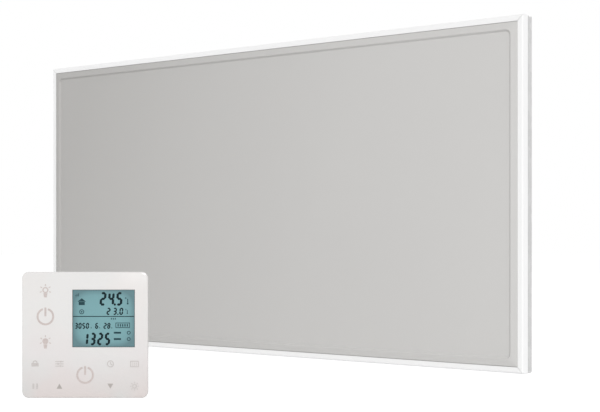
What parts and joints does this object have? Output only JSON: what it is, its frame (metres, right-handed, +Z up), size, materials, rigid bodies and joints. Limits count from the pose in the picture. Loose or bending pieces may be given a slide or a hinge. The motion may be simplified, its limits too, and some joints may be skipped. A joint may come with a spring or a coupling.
{
  "type": "infrared panel heater",
  "caption": "Flat wall heater with a grey front plate pressed to a low rim in a white mitred frame, rear tray with hangers and terminal box, and a square touch controller with a display.",
  "frame": {"origin": "middle of the frame's lower side face, on the surface the heater stands on", "axes": "+X to the right seen from the front, +Y from the front to the wall, +Z up; the heater faces -Y"},
  "size_m": [0.595, 0.4076, 0.295],
  "materials": {
    "frame_white": "satin powder coat",
    "plate_grey": "satin baked enamel",
    "film_black": "matte",
    "copper": "satin",
    "insulation": "fibrous",
    "ceramic_white": "matte",
    "lead_red": "satin silicone",
    "galvanised": "galvanised",
    "steel": "zinc plated",
    "box_black": "moulded",
    "controller_gloss": "gloss",
    "controller_shell": "satin moulded",
    "display_teal": "gloss",
    "board_green": "solder mask",
    "component_blue": "moulded"
  },
  "bodies": {
    "heater": {"frame_bottom": "frame_white", "frame_right": "frame_white", "frame_top": "frame_white", "frame_left": "frame_white", "front_plate": "plate_grey", "heating_film": "film_black", "busbar_left": "copper", "busbar_right": "copper", "insulation_board": "insulation", "thermal_cutout": "ceramic_white", "terminal_block": "ceramic_white", "controller_capacitor": "ceramic_white", "lead_right": "lead_red", "lead_left_outer": "lead_red", "lead_left_inner": "lead_red", "back_tray": "galvanised", "corner_key_bottom_left": "steel", "corner_key_bottom_right": "steel", "corner_key_top_right": "steel", "corner_key_top_left": "steel", "hanger_lower_left": "steel", "hanger_lower_right": "steel", "hanger_upper_left": "steel", "hanger_upper_right": "steel", "lid_screw_1": "steel", "lid_screw_2": "steel", "lid_screw_3": "steel", "lid_screw_4": "steel", "earth_stud": "steel", "terminal_box": "box_black", "terminal_box_lid": "box_black", "gland_body": "box_black", "gland_nut": "box_black", "gland_locknut": "box_black", "controller_pin_socket": "box_black", "controller_housing": "controller_shell", "controller_power_board": "board_green", "controller_relay": "component_blue", "controller_terminal_strip": "component_blue"},
    "controller_front": {"controller_touch_plate": "controller_gloss", "controller_display_window": "display_teal", "controller_display_module": "ceramic_white", "controller_front_shell": "controller_shell", "controller_main_board": "board_green", "controller_pin_header": "box_black"}
  },
  "joints": [
    {"name": "controller_unclip", "type": "slide", "parent": "heater", "child": "controller_front", "axis": [0.6508, -0.7593, 0], "range_m": [0, 0.012]}
  ]
}
